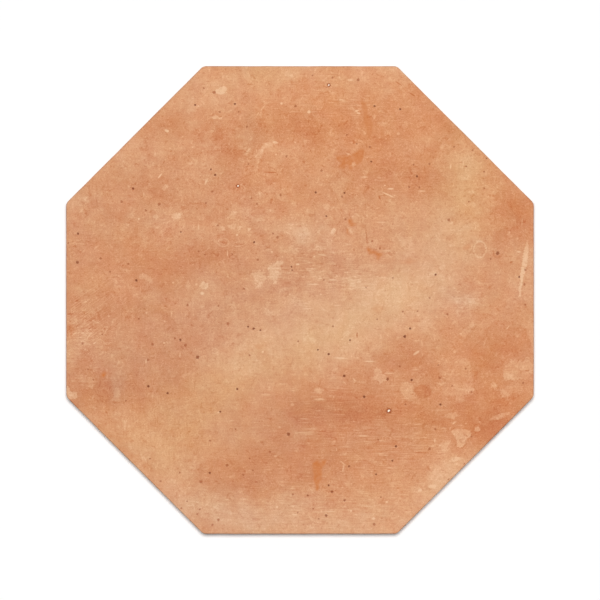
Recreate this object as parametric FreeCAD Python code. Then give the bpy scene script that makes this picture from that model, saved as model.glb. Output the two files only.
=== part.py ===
"""Octagonal terracotta floor tile: one piece of fired clay, lying on its back with its face up.

The face is a regular octagon with rounded upright corners and a worn edge. Each side leans in a little
from the face down to the back, so that neighbours meet at the face and the joint is wider below it.
The origin is at the middle of the back, +Z is up through the face, and +X and +Y each point at a side.
"""

import FreeCAD
import Part

import math
import os

# Driving dimensions, in millimetres
ACROSS_FLATS = 300.0  # from side to opposite side, at the face
THICKNESS = 20.0  # from back to face
CORNER_RADIUS = 4.5  # of the upright corners, at the face
FACE_EDGE_RADIUS = 1.0  # of the worn edge round the face
BACK_EDGE_RADIUS = 0.6  # of the edge round the back
SIDE_UNDERCUT = 0.6  # how far each side leans in from face to back

SIDE_COUNT = 8
FACE_Z = THICKNESS
BACK_Z = 0.0
TURN = 2 * math.pi / SIDE_COUNT
HEIGHT_TOLERANCE = 1e-6


def around(centre, radius, angle):
    """The point at this radius and angle round a centre, at the centre's height."""
    return centre + FreeCAD.Vector(radius * math.cos(angle), radius * math.sin(angle), 0)


def outline(inset, z):
    """The tile's outline at height z, moved in from the face's outline by inset: straight sides and corner arcs.

    The arcs keep their centres as the outline moves in, so a corner's radius shrinks by the inset.
    """
    radius = CORNER_RADIUS - inset
    middle = FreeCAD.Vector(0, 0, z)
    centre_reach = (ACROSS_FLATS / 2 - CORNER_RADIUS) / math.cos(TURN / 2)
    edges = []
    for k in range(SIDE_COUNT):
        bisector = TURN * (k + 0.5)
        centre = around(middle, centre_reach, bisector)
        next_centre = around(middle, centre_reach, bisector + TURN)
        start, crown, end = (around(centre, radius, bisector + t * TURN) for t in (-0.5, 0, 0.5))
        edges.append(Part.Arc(start, crown, end).toShape())
        edges.append(Part.LineSegment(end, around(next_centre, radius, bisector + TURN / 2)).toShape())
    return Part.Wire(edges)


def edges_at(solid, z):
    """The edges that lie at height z."""
    boxes = [(edge, edge.BoundBox) for edge in solid.Edges]
    return [edge for edge, box in boxes if max(abs(box.ZMin - z), abs(box.ZMax - z)) < HEIGHT_TOLERANCE]


def octagonal_tile():
    """The block between the back's and the face's outlines, with the edge round each of them rounded."""
    back, face = outline(SIDE_UNDERCUT, BACK_Z), outline(0, FACE_Z)
    block = Part.makeLoft([back, face], True, True)
    eased = block.makeFillet(FACE_EDGE_RADIUS, edges_at(block, FACE_Z))
    return eased.makeFillet(BACK_EDGE_RADIUS, edges_at(eased, BACK_Z))


def main():
    os.makedirs("parts", exist_ok=True)
    tile = octagonal_tile()
    tile.exportStep("parts/octagonal_tile.step")
    box = tile.BoundBox
    print(f"octagonal_tile {box.XLength:.3f} x {box.YLength:.3f} x {box.ZLength:.3f} mm, valid {tile.isValid()}")
    print(f"solids {len(tile.Solids)}, faces {len(tile.Faces)}, volume {tile.Volume / 1000:.1f} cm3")


main()
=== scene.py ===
"""The looks of an octagonal terracotta floor tile: one hand-made, kiln-flashed piece of fired clay."""

import bpy
import numpy as np
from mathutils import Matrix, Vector


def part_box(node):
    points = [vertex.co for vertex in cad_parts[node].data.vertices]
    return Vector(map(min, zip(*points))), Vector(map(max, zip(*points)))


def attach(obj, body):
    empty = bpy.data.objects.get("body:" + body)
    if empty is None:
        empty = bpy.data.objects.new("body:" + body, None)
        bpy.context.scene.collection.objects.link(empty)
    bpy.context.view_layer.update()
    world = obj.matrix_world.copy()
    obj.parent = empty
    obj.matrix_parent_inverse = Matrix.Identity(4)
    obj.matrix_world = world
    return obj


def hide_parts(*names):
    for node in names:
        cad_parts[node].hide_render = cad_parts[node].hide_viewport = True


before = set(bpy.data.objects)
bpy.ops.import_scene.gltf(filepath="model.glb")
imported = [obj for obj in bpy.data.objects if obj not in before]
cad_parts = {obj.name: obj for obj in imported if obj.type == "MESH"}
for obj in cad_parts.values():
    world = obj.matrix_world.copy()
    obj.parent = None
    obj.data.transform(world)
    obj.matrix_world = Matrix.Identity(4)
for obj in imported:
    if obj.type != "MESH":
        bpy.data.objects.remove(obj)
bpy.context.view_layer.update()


# The tile: one slab of red clay, pressed into an octagonal frame, scraped level across the face, cut free and
# dried on a sanded board. The flames of the kiln drew a pale band across the face and left the rest redder.
# It is one piece, and it lies on its back.

# Sizes in millimetres
MM = 0.001
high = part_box("octagonal_tile")[1]
REACH = high.x / MM  # from the middle to each side
THICKNESS = high.z / MM
CORNER_RADIUS = 4.5
WORN_EDGE = 1.0  # rounding round the face
BACK_EDGE = 0.6  # rounding round the back
UNDERCUT = 0.6  # how far each side leans in from face to back

# Lines of the mesh
COLUMNS = 264  # of the face's grid, and a multiple of BACK_STEP
ROWS = 272
CORNER_ROWS = 6  # extra rows that follow each corner arc beside the top and the bottom side
EDGE_STEPS, SIDE_STEPS, BACK_EDGE_STEPS = 5, 9, 3  # down the worn edge, the side and the back's edge
BACK_STEP = 4  # the back's grid has one line for this many of the face's
BACK_MARGIN = 3.0  # millimetres between the back's edge and its grid

# Places on the face are given in the photograph's pixels, columns to the right and rows down.
PHOTO_MIDDLE = 300.1
PHOTO_ACROSS = 467.9  # the tile's width in the photograph
PIXEL = 2 * REACH / PHOTO_ACROSS


def half_width(y, reach, radius):
    """Half the octagon's width at height y, and how far its edge's outward direction lifts from level there.

    Going down from the top side the edge is a corner arc, a slanting side, a second corner arc and an upright
    side. The arcs' centres lie one radius inside the sides, and tan(22.5 degrees) times that far along them.
    """
    y = np.abs(y)
    centre = reach - radius
    mitre = centre * np.tan(np.pi / 8)
    bend = radius * np.sin(np.pi / 4)
    upper, lower = np.clip((y - centre) / radius, -1, 1), np.clip((y - mitre) / radius, -1, 1)
    parts = [y > centre + bend, y > mitre + bend, y > mitre]
    upper_arc, lower_arc = mitre + radius * np.sqrt(1 - upper**2), centre + radius * np.sqrt(1 - lower**2)
    width = np.select(parts, [upper_arc, reach * np.sqrt(2) - y, lower_arc], reach)
    lift = np.select(parts, [np.arcsin(upper), np.full_like(y, np.pi / 4), np.arcsin(lower)], 0.0)
    return width, lift


def eased(share):
    """A share from 0 to 1, eased at both ends: 3t2 - 2t3."""
    return share * share * (3 - 2 * share)


def clouds(x, y, size, seed, octaves=1):
    """Smooth random hills and hollows, from -1 to 1 in one octave: random heights on a square lattice of this
    size, joined by an eased step along each axis. Each further octave is half the size and half as high, and
    its lattice is shifted."""
    CELLS = 64  # along each axis, after which the lattice repeats
    SHIFT_X, SHIFT_Y = 7.3, 3.1
    heights = np.random.default_rng(seed).uniform(-1, 1, (CELLS, CELLS))
    total = np.zeros(np.broadcast(x, y).shape)
    for octave in range(octaves):
        u, v = x * 2**octave / size + SHIFT_X * octave, y * 2**octave / size + SHIFT_Y * octave
        i, j = np.floor(u).astype(int), np.floor(v).astype(int)
        s, t = eased(u - i), eased(v - j)
        near, far = (heights[i % CELLS, k % CELLS] * (1 - s) + heights[(i + 1) % CELLS, k % CELLS] * s
                     for k in (j, j + 1))
        total += (near * (1 - t) + far * t) / 2**octave
    return total


def ellipse(listed, col, row):
    """How far each place lies along and across each ellipse from its middle, in its half axes. An ellipse is
    a column, a row, a half length, a half width and a lean in degrees, and has its own row of the result."""
    c, r, half_along, half_across, lean = (part[:, None] for part in np.array(listed, np.float32).T[:5])
    turn = np.radians(lean)
    along = ((col - c) * np.cos(turn) - (row - r) * np.sin(turn)) / half_along
    across = ((col - c) * np.sin(turn) + (row - r) * np.cos(turn)) / half_across
    return along, across


def zones(listed, col, row):
    """The sum of soft ellipses: each one's strength times exp(-d2), with d the distance in its half axes."""
    total = np.zeros_like(col)
    for zone in listed:
        along, across = ellipse([zone], col, row)
        total += zone[5] * np.exp(-along[0] ** 2 - across[0] ** 2)
    return total


# The grid of the face: rows from the bottom side to the top side, each as wide as the octagon is there.
face_reach, face_radius = REACH - WORN_EDGE, CORNER_RADIUS - WORN_EDGE
arc = np.linspace(0, np.pi / 4, CORNER_ROWS + 1)
corner_y = face_reach - face_radius * (1 - np.cos(arc))
level_y = np.linspace(-corner_y[-1], corner_y[-1], ROWS + 1 - 2 * CORNER_ROWS)
row_y = np.concatenate([-corner_y[:-1], level_y, corner_y[-2::-1]])
row_width = half_width(row_y, face_reach, face_radius)[0]
face_x = np.linspace(-1, 1, COLUMNS + 1)[None, :] * row_width[:, None]
face_y = np.repeat(row_y[:, None], COLUMNS + 1, axis=1)
face_id = np.arange(face_x.size).reshape(face_x.shape)


def rim(grid):
    """A grid's outermost numbers in turn: along the bottom, up the right, back along the top and down."""
    return np.concatenate([grid[0, :-1], grid[:-1, -1], grid[-1, :0:-1], grid[:0:-1, 0]])


# Pits that the clay's grit and bubbles left, by how dark they are, partly the grit's colour and partly
# painted
# shade in the hollow: column, row and radius.
DARK_PITS = [
    (133.3, 188.6, 1.2), (215.3, 175, 1.2), (211, 169.5, 0.9), (78.2, 233.8, 1.2), (195.4, 105, 1.1),
    (235, 104, 1.1), (374.6, 106.2, 1.1), (400.3, 109.3, 1.1), (417.1, 176.4, 1.1), (344.4, 193, 1.1),
    (315.8, 192.5, 1.2), (326.5, 216.2, 1.0), (254.2, 242.3, 1.2), (487, 157.9, 1.4), (291.6, 266.8, 0.9),
    (292.3, 270.2, 0.8), (136.5, 280.4, 1.3), (371.3, 161.6, 1.0), (180.4, 339.9, 1.3), (148.5, 386.3, 1.3),
    (167.7, 393.2, 1.2), (253.7, 328.7, 1.2), (248.2, 326.7, 1.0), (260.5, 330.4, 1.0), (435.7, 274.6, 1.2),
    (519.3, 277, 1.1), (410.3, 328.6, 1.2), (404.8, 336.5, 1.5), (344.3, 375.9, 1.3), (364.3, 396.8, 1.4),
    (411.7, 380, 1.3), (440.6, 404.6, 1.3), (396, 446.4, 1.2), (392.5, 460.8, 1.1), (237.3, 389.1, 1.1),
    (220.4, 411.6, 1.1), (209.9, 473, 1.2), (328.8, 485.5, 1.0), (376.2, 474.4, 0.9), (328.8, 354.1, 1.2),
    (317.9, 349.9, 1.0), (350, 340.3, 1.0),
]
RED_PITS = [
    (159.3, 204.4, 1.7), (121.7, 201.6, 1.4), (145.8, 210.4, 1.3), (212.6, 191.6, 1.2), (206.1, 203.1, 1.2),
    (67.8, 243.3, 1.5), (286.6, 156.4, 1.2), (248.6, 164.1, 1.0), (214.2, 92.5, 1.8), (204, 88.4, 1.0),
    (219.9, 112.1, 1.1), (238.8, 111.9, 1.0), (247, 126.8, 1.1), (295.9, 106.1, 1.4), (312.6, 75.4, 0.9),
    (332.7, 77.6, 1.1), (358.3, 80, 1.6), (321.6, 170.8, 1.3), (342.1, 196.7, 1.3), (280.6, 195, 1.4),
    (251.5, 198.3, 1.0), (257, 204, 1.1), (345.7, 219.3, 1.2), (273.2, 233.6, 1.1), (277.8, 237.3, 1.4),
    (372.2, 241.3, 1.2), (379.9, 248.4, 1.2), (413.8, 164.7, 1.1), (429.7, 163.9, 1.3), (454.2, 146.9, 1.0),
    (472.7, 150.3, 1.0), (466.2, 166.6, 1.0), (484.3, 171.8, 1.1), (484.3, 188.4, 1.0), (469, 201.7, 1.0),
    (448.9, 219.9, 1.6), (409.3, 187.1, 1.3), (419.5, 187.5, 1.0), (100.6, 258.5, 1.4), (110.2, 271.8, 1.1),
    (128.4, 263.8, 1.1), (198.7, 251.5, 1.0), (205, 254.6, 0.9), (232.3, 254.1, 1.0), (244.1, 288.9, 1.3),
    (187.5, 305.2, 1.4), (218.4, 306, 1.0), (138.9, 318.8, 1.1), (228, 323.7, 1.6), (175, 338.5, 1.1),
    (185.5, 345.2, 1.6), (152.7, 344.5, 1.6), (82.6, 343.5, 1.2), (88, 369.4, 1.0), (93.4, 379.6, 1.0),
    (148.2, 360.1, 1.5), (258, 259.7, 1.4), (249.6, 355.4, 1.0), (298.2, 341.3, 1.0), (333, 326.4, 1.1),
    (366.2, 287.6, 0.9), (393, 277.9, 0.9), (377.3, 319.4, 0.9), (402.9, 311.7, 1.1), (417.5, 311.2, 0.9),
    (429.7, 298, 1.0), (490.8, 258.9, 1.2), (525.5, 269.9, 1.3), (524.5, 284.4, 1.2), (525.4, 304.8, 1.1),
    (400, 366.5, 1.0), (438.4, 365.2, 1.0), (439.9, 378, 1.4), (465.9, 368.8, 1.1), (447.6, 314.4, 1.2),
    (405.6, 404.6, 1.2), (435.5, 429.1, 1.3), (429.7, 448.9, 1.4), (448.9, 479.5, 1.2), (464.8, 463.9, 1.2),
    (471.8, 436.7, 1.1), (378.5, 439.8, 1.0), (381, 497.3, 1.0), (374.2, 524.2, 1.5), (292.9, 494.5, 1.3),
    (313.3, 508.8, 1.1), (318.8, 518.9, 1.0), (297.8, 512.6, 0.9), (235.5, 429.2, 1.0), (210, 440.9, 1.1),
    (200.9, 481.8, 1.8), (179.7, 472.7, 1.0), (150.1, 458.8, 1.1), (160.7, 481.4, 1.2), (187.1, 501.4, 0.9),
    (181.4, 508.2, 1.2), (199.9, 509.4, 1.0), (197.4, 514.3, 1.0), (218.3, 519.9, 1.5), (212.4, 525, 1.3),
    (227.3, 465.4, 1.6), (243.3, 475, 1.1), (249.5, 458.4, 0.9), (253.2, 470.4, 1.0), (270.2, 451.8, 1.0),
    (126, 400.8, 1.0), (217.9, 225.4, 1.2), (370, 147, 1.2), (356.8, 143.9, 0.9), (346.9, 134.9, 0.9),
    (102.5, 334.5, 0.9), (471.6, 392, 1.0), (523.3, 383, 1.2), (452.2, 386, 1.0), (324, 280, 1.1),
]
BROWN_PITS = [
    (197.7, 357.3, 1.9), (288.6, 434.3, 1.9), (497.7, 253.4, 1.9), (77.4, 262.4, 1.7), (181, 232, 1.0),
    (387.7, 379.2, 1.5), (332.1, 491.8, 1.3), (349.2, 466.4, 1.2), (307.8, 495.5, 1.0), (326.3, 515.6, 1.4),
    (344.6, 500.5, 1.3),
]
# Lime that popped and shows white in its own hollow: column, row and radius of the hollow.
LIME_POPS = [(388.9, 411, 3.1), (328.8, 85.2, 2.1), (238.1, 186.1, 2.1)]
# Rims of bubbles that rose to the skin: column, row, half length, half width, lean and strength.
BLISTERS = [
    (480.1, 249.4, 8.2, 6, 88, 1.0), (223.4, 242.6, 5.6, 4, 0, 0.8), (215.2, 351, 2.9, 2.7, 0, 1.0),
    (304, 438, 2.2, 2, 0, 0.8), (340, 486.7, 2.6, 2.4, 0, 0.6), (471.2, 391.8, 2.8, 2.4, 0, 0.7),
    (499.9, 185.8, 3, 2.7, 0, 0.6), (366.5, 425.3, 2.2, 1.8, 0, 0.6), (384.6, 463.5, 2.8, 2.5, 0, 0.5),
    (229.6, 204.6, 2, 1.8, 0, 0.5), (337.8, 209.4, 2.2, 1.8, 0, 0.6), (293.8, 169.5, 1.8, 1.6, 0, 0.6),
    (276.1, 154.6, 1.8, 1.7, 0, -0.7), (239.5, 243.8, 7, 2.4, 10, 0.5), (408.8, 231.3, 3, 2.6, 0, 0.6),
]
# Pale drag marks, flecks and scratches that the scraper left, and after them the dark ones, whose strength
# is negative: column, row, half length, half width, lean and strength.
DRAG_MARKS = [
    (166.9, 130.9, 2.6, 1.4, -25, 1.3), (160, 176, 3.4, 0.8, 50, 1.4), (155.2, 154.2, 2.8, 0.7, 88, 0.7),
    (192.7, 147.4, 1, 0.9, 0, 0.7), (170.2, 148.3, 1, 0.8, 0, 0.6), (205.9, 182.7, 2.6, 1.0, 75, 0.6),
    (143.8, 194.8, 2.8, 0.8, 88, 0.7), (198.6, 227.3, 4.5, 0.8, 88, 0.7), (198.5, 106.1, 1, 0.9, 0, 0.9),
    (73, 205, 5, 1, 88, 0.35), (138.9, 219, 1.1, 1.1, 0, 1.1), (275.2, 142.3, 3.4, 1.3, -10, 1.1),
    (309, 112, 1.8, 1.8, 0, 1.4), (357, 110.9, 2, 1.2, 10, 1.5), (358.7, 113.3, 2.2, 1, -15, 1.3),
    (342.3, 100.5, 3.6, 1.5, -5, 0.45), (350.5, 80.2, 3, 1.2, 0, 0.8), (263, 107.8, 3.6, 0.6, 52, 0.7),
    (258, 114, 2.2, 0.7, 60, 0.75), (364.5, 177.2, 4.6, 0.8, 0, 0.75), (388.1, 194.8, 7.2, 0.8, -25, 1.3),
    (390.8, 188.9, 3.2, 0.9, 0, 1.5), (360.5, 141, 3, 0.9, -8, 0.35), (394.6, 195.6, 1, 0.9, 0, 0.6),
    (385, 185.6, 1.1, 0.9, 0, 1.2), (291.8, 75.5, 2, 1.8, 0, 0.4), (281.6, 103.6, 1.5, 1.3, 0, 1.2),
    (251, 139.3, 1, 1, 0, 0.7), (362, 73.6, 2.6, 0.7, 75, 0.5), (248.3, 150.4, 3.8, 0.9, 46, 0.5),
    (246, 154.2, 2.2, 0.8, 22, 0.35), (257, 146.6, 4.2, 0.7, 56, 0.35), (265.6, 144.1, 3.4, 0.9, -20, 0.45),
    (261.8, 150.6, 3.8, 1.5, 52, 0.3), (256.6, 155.8, 2.3, 0.9, 55, 0.5), (281.2, 140.4, 2.4, 0.7, 9, 0.4),
    (276.2, 154.6, 0.9, 0.9, 0, 1.0), (295.3, 142.6, 1.2, 0.8, 0, 0.8), (381, 222.3, 6, 0.6, 0, 0.85),
    (242, 198, 4.5, 0.5, 40, 0.45), (339.6, 77.4, 1, 0.9, 0, 0.7), (421.8, 191.2, 4.6, 0.9, 0, 0.9),
    (398.5, 133.8, 1.7, 1.5, 0, 0.8), (441.8, 147.6, 3, 2, 88, 0.45), (329.8, 91.3, 1.2, 1, 0, 0.6),
    (522.2, 222.2, 4, 0.8, 85, 0.7), (450.8, 166.7, 3, 0.8, 85, 0.75), (227.6, 253.5, 3.2, 0.7, 88, 1.1),
    (244.3, 190, 2, 1.5, 90, 0.35), (173.3, 282.7, 1.3, 1, 0, 0.9), (196.4, 284.4, 1.3, 1.2, 0, 0.6),
    (140.6, 289.3, 5, 0.5, 88, 0.35), (107, 328, 2.2, 0.7, 70, 0.3), (95, 343, 2, 0.7, 38, 1.0),
    (180.1, 355, 2.8, 0.8, 88, 0.75), (146.3, 361.4, 2.6, 1, 80, 0.85), (180.1, 380.5, 3, 0.7, 88, 0.25),
    (193.5, 313.5, 3, 0.7, 88, 0.35), (95, 321.6, 6.5, 0.6, -22, 0.7), (146.6, 312.9, 1, 1, 0, 0.9),
    (164.8, 321.4, 0.9, 0.9, 0, 0.6), (164.2, 343.1, 1, 1, 0, 1.2), (322.2, 254.9, 4.6, 0.7, -6, 1.1),
    (333, 252.9, 3.2, 0.8, 0, 0.4), (331.5, 264.2, 5.5, 0.6, 0, 0.4), (310.8, 269, 6.2, 0.6, 0, 1.1),
    (309.4, 270.8, 3.6, 0.5, 0, 0.8), (320.3, 278.5, 2.2, 0.7, 0, 1.3), (314.5, 276.6, 3, 0.6, 0, 0.35),
    (303.2, 277, 2.3, 0.8, 0, 0.8), (332.5, 279.9, 4, 1.1, 0, 0.7), (314.2, 284.4, 6, 0.7, 0, 0.95),
    (346.3, 272.4, 2.4, 0.9, 0, 0.8), (337, 276.1, 1.2, 0.8, 0, 0.7), (355.2, 276.8, 2, 0.8, -25, 0.7),
    (352.3, 283.5, 2.3, 0.8, 0, 0.7), (359.5, 281.7, 2.5, 0.7, 0, 0.6), (352, 288.9, 3.8, 0.7, 0, 0.6),
    (314.4, 256.5, 0.9, 0.9, 0, 1.0), (297.8, 264.4, 1.9, 1, 0, 1.7), (272, 252, 1.2, 1, 0, 1.1),
    (237.1, 235, 1.1, 1.1, 0, 1.2), (308.5, 308.7, 5.5, 0.6, 0, 0.6), (337.1, 305.5, 4, 0.7, 0, 0.55),
    (340.3, 358.2, 8.4, 0.9, -2, 0.75), (369.6, 361.4, 6, 0.8, -1, 0.95), (282.9, 384.1, 5.6, 0.8, 0, 0.5),
    (319.5, 399.4, 6, 1.1, 0, 0.9), (388.6, 373.5, 5.6, 0.8, 0, 0.8), (354.3, 379.8, 2, 0.7, -55, 0.9),
    (348, 244.3, 3.6, 0.6, -5, 0.75), (318.6, 248.5, 8, 1.6, 4, 0.3), (382.4, 266.3, 6, 1, 0, 0.3),
    (263.1, 351.8, 1.2, 1, 0, 1.0), (320.9, 294.4, 1, 0.9, 0, 1.0), (386.5, 250.8, 4.5, 1, 2, 0.6),
    (389.5, 255.8, 2.8, 0.8, -38, 0.7), (471.8, 246.6, 3.6, 0.6, 85, 0.6),
    (475.6, 227.4, 2.6, 0.6, 85, 0.6), (509.4, 232.5, 1.9, 0.7, 80, 0.75), (519, 252, 2.2, 0.8, 0, 1.4),
    (456.9, 302, 3, 0.8, 88, 0.35), (485.2, 341.6, 7, 0.8, 70, 0.5), (416.3, 353.1, 4, 1.3, 35, 1.2),
    (417, 340.7, 4, 0.7, 2, 0.35), (415.7, 369.7, 4.2, 0.8, 0, 0.6), (508, 327.6, 2.6, 0.7, 50, 0.9),
    (141.6, 455.9, 5, 0.7, -75, 0.45), (145.7, 460.3, 4, 0.6, -70, 0.6), (125.3, 424, 6, 1.8, 85, 0.2),
    (118.9, 393.4, 4.5, 3, 80, 0.25), (107.2, 377, 3, 0.6, 86, 0.6), (304.6, 432.9, 9, 0.8, -2, 0.65),
    (309.7, 429.1, 8, 0.6, 0, 0.45), (363.3, 436, 6.2, 1, -2, 0.65), (383.7, 455.2, 5.6, 0.9, -3, 0.5),
    (391.3, 468, 6, 0.8, -3, 0.75), (304.6, 418.9, 5, 0.6, -3, 0.8), (338.4, 388.3, 10, 0.5, -2, 0.45),
    (275.9, 456.1, 2, 1, 0, 1.1), (292.5, 404.8, 1.9, 1.7, 0, 0.75), (279.7, 427.2, 1.4, 1, -30, 0.6),
    (269.5, 387.4, 1, 0.9, 0, 0.5), (343.5, 468, 4, 0.9, 76, 0.9), (342.2, 462.4, 2.6, 0.7, -40, 0.7),
    (345.2, 460.8, 2.2, 0.7, 25, 0.6), (294.4, 514.5, 3, 1, -5, 0.75), (336.5, 449.5, 1.9, 0.6, 85, 0.8),
    (266.3, 394.6, 5, 1.2, 0, 0.55), (337.8, 409.3, 9, 0.5, 0, 0.5), (365.8, 506.3, 12, 0.6, -5, 0.6),
    (440, 384.2, 3.6, 0.8, -20, 0.6), (454, 423, 2.3, 1, 40, 1.1), (491, 419.5, 3, 1, 14, 0.3),
    (501.8, 416.6, 1.5, 1, 20, 0.4), (420.2, 490.3, 2.1, 1.2, 10, 1.5), (434.8, 440.6, 2.6, 1, 80, 0.7),
    (433, 446, 1.5, 1.4, 0, 0.6), (387, 502, 1.3, 1.1, 0, 1.0), (373.7, 518.6, 1.5, 1.3, 0, 1.7),
    (351.3, 510.9, 1.3, 1.1, 0, 1.1), (277.2, 507.1, 1.2, 1.1, 0, 1.4), (218.6, 412.5, 1.4, 1, 20, 0.9),
    (432.3, 486.5, 5, 1.5, 5, 0.4), (425.3, 437.6, 2.6, 0.7, 0, 0.6), (418.2, 424.4, 5, 0.6, 3, 0.9),
    (479.8, 422, 1, 1, 0, 1.2), (466, 423.6, 1, 0.9, 0, 0.8), (440.6, 445.7, 0.9, 0.9, 0, 0.9),
    (444.2, 428.3, 3, 0.8, -3, 0.8), (450.3, 428.8, 1.6, 0.8, 70, 0.8), (355.3, 334.8, 2.2, 0.7, 88, 0.3),
    (170, 226, 10, 0.5, 38, 0.3), (355, 508.8, 10, 0.7, -4, 0.3), (202.3, 293.5, 2, 1.8, 0, 1.0),
    (356.6, 461.8, 2.4, 0.6, 55, 0.5), (367.2, 215.7, 1.2, 1.2, 0, 0.6), (377.4, 208.3, 1.4, 0.9, 0, 0.6),
    (352.8, 216.5, 1.4, 1.2, 20, 0.6), (389.6, 201.4, 1.6, 1.2, 0, 0.5), (350.9, 231.8, 2.4, 1.4, 90, 0.45),
    (239, 246.2, 5.5, 0.6, 8, 0.5), (268, 250.2, 6, 0.8, 15, 0.35), (290, 272.9, 3.6, 0.8, 8, 0.4),
    (308.5, 291.6, 5, 0.5, 0, 0.35), (311.8, 272.2, 3, 0.5, 0, 0.5), (314.6, 249.5, 3, 0.8, 0, 0.6),
    (373.9, 118.8, 3.2, 1, 62, 0.45), (382, 123, 7, 1.4, -5, 0.3), (359, 105.5, 2.2, 0.6, -15, 0.5),
    (349, 154.2, 3.6, 0.8, -25, 0.7), (74.3, 304, 5, 0.6, 38, 0.5), (74.5, 334, 3.6, 0.7, 36, 0.7),
    (112.6, 322.5, 4.5, 0.8, 80, 0.5), (109, 316.4, 1.2, 1, 0, 0.7), (124, 317, 5, 0.9, -70, 0.35),
    (132.8, 318, 5, 0.7, 90, 0.35), (116.5, 333, 4.5, 0.6, 88, 0.4), (106, 331, 3, 0.8, 60, 0.7),
    (103.2, 330.5, 2.2, 0.6, -60, 0.5), (441, 410.2, 8, 0.8, 3, 0.4), (440, 445.6, 1.1, 1, 0, 0.9),
    (270.2, 172.4, 6.5, 0.6, -2, -1.0), (421.4, 452.7, 9, 0.6, -2, -0.75),
    (310.7, 150.8, 3, 0.7, -60, -0.6), (398.5, 83.4, 5, 0.7, -35, -0.65), (412.5, 94.6, 4, 0.8, -30, -0.9),
    (304.6, 445.7, 6, 0.6, -3, -0.5), (332, 445.7, 6, 0.6, 3, -0.65), (322.4, 431.6, 5, 0.6, 2, -0.7),
    (379.7, 198, 2.2, 0.8, -60, -1.3), (511, 262.5, 2, 1, 15, -1.2), (527.3, 370.7, 2.3, 0.8, 5, -0.85),
    (518, 361.5, 1.8, 0.8, 60, -0.8), (357.2, 335, 2.6, 0.6, 88, -1.5), (365.6, 213, 14, 0.6, 90, -0.25),
    (175.6, 303.3, 1.6, 0.6, -15, -0.75), (165.4, 306.5, 2.4, 0.7, -20, -0.9),
    (309.3, 269.9, 4.5, 0.4, 0, -0.6), (335.4, 265.4, 3.4, 0.5, 0, -0.5), (335.4, 273.6, 2.6, 0.6, 0, -0.5),
    (332.5, 282.3, 7, 0.5, 0, -0.5), (262.4, 161, 2.2, 0.7, 57, -0.45), (366.7, 237, 9.2, 0.8, -84, -0.7),
    (223.8, 242.7, 3.2, 1.3, -25, -0.6), (242.5, 244.4, 3.2, 0.6, 12, -0.5),
    (267, 248.3, 3.4, 0.6, 20, -0.5), (77, 301, 2, 0.9, 30, -1.0), (90.5, 320.5, 4, 0.6, -25, -0.6),
    (70.5, 314, 3.2, 0.9, 5, -1.1), (104.6, 329, 1.2, 0.9, 0, -0.6), (340, 487.3, 2.4, 1.8, 50, -0.4),
]
# Soft zones of paler and of deeper-fired clay: column, row, half length, half width, lean and strength in
# steps of tone. The flame's pale band runs from the lower left up to the upper right.
KILN_FLASH = [
    (405, 296, 70, 30, 20, 24), (322, 328, 68, 30, 27, 18), (238, 364, 46, 24, 20, 14),
    (440, 238, 36, 42, 50, 18), (469, 174, 17, 42, 0, 16), (350, 275, 34, 13, 0, 14),
    (374, 148, 14, 10, 0, 6), (250, 499, 14, 9, 0, 6), (306, 302, 26, 12, 10, 8), (250, 328, 40, 16, 0, 8),
    (425, 323, 20, 14, 0, 17), (356, 350, 36, 14, 20, 18), (143, 434, 50, 18, -40, 11),
    (187, 503, 40, 18, -42, 14), (262, 518, 70, 20, 0, 19), (380, 520, 66, 24, 8, 12),
    (450, 478, 42, 24, 45, 24), (225, 82, 48, 18, 10, 14), (298, 70, 34, 16, 0, 15),
    (388, 74, 40, 16, 0, 18), (206, 101, 30, 12, 20, 5), (300, 228, 42, 18, 0, 9), (332, 240, 24, 14, 0, 8),
    (270, 276, 28, 12, 25, 12), (214, 298, 24, 16, -30, 9), (526, 268, 16, 30, 0, 12),
    (470, 302, 26, 12, 0, 3), (128, 152, 24, 14, 45, 8), (200, 172, 16, 14, 0, 8), (176, 226, 20, 10, 0, 5),
    (76, 345, 10, 20, 0, 5), (524, 374, 12, 20, 0, 5), (76, 200, 12, 10, 0, 8), (276, 150, 24, 12, 0, 9),
    (262, 226, 26, 12, 0, 8), (301, 236, 11, 10, 0, 3), (204, 288, 7, 8, 0, 4), (117, 384, 8, 9, 0, 7),
    (121, 343, 5, 7, 0, 5), (70, 353, 8, 16, 0, 2), (262, 148, 9, 4, 45, 6),
]
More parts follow.
